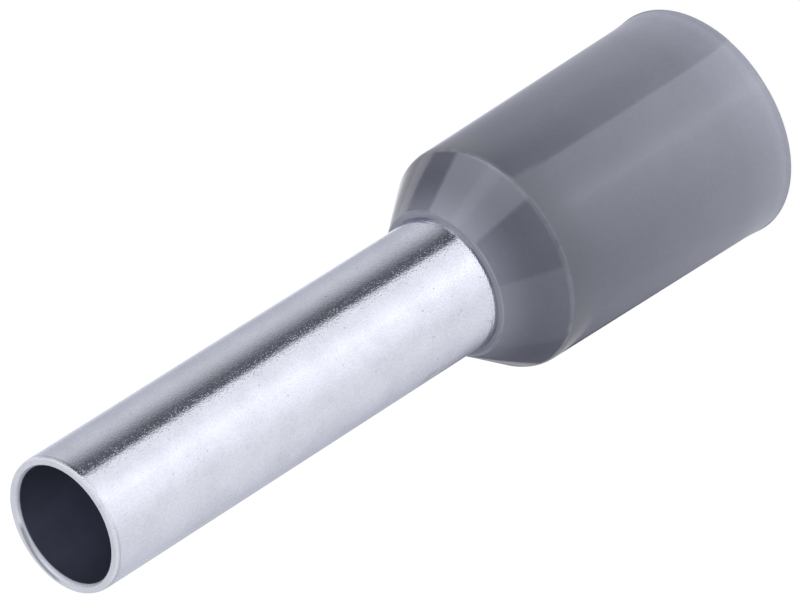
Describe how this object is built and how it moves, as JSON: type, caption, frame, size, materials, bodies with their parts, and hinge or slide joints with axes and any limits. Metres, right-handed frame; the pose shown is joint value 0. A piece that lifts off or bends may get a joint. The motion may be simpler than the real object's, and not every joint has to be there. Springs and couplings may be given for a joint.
{
  "type": "wire ferrule",
  "caption": "Insulated wire ferrule: a thin metal sleeve, funnelled at its rear, in a moulded plastic collar that guides and holds a stripped stranded conductor.",
  "frame": {"origin": "centre of the collar's open rear face, on the axis of the sleeve", "axes": "+Z along the axis, from the collar's open rear end to the sleeve's tip; X and Y square to it"},
  "size_m": [0.0056, 0.0056, 0.0203],
  "materials": {
    "tinned_sleeve": "bright tin plate over copper, lightly drawn",
    "grey_collar": "moulded polypropylene, bluish grey, soft gloss"
  },
  "bodies": {
    "root": {"sleeve": "tinned_sleeve", "collar": "grey_collar"}
  },
  "joints": []
}
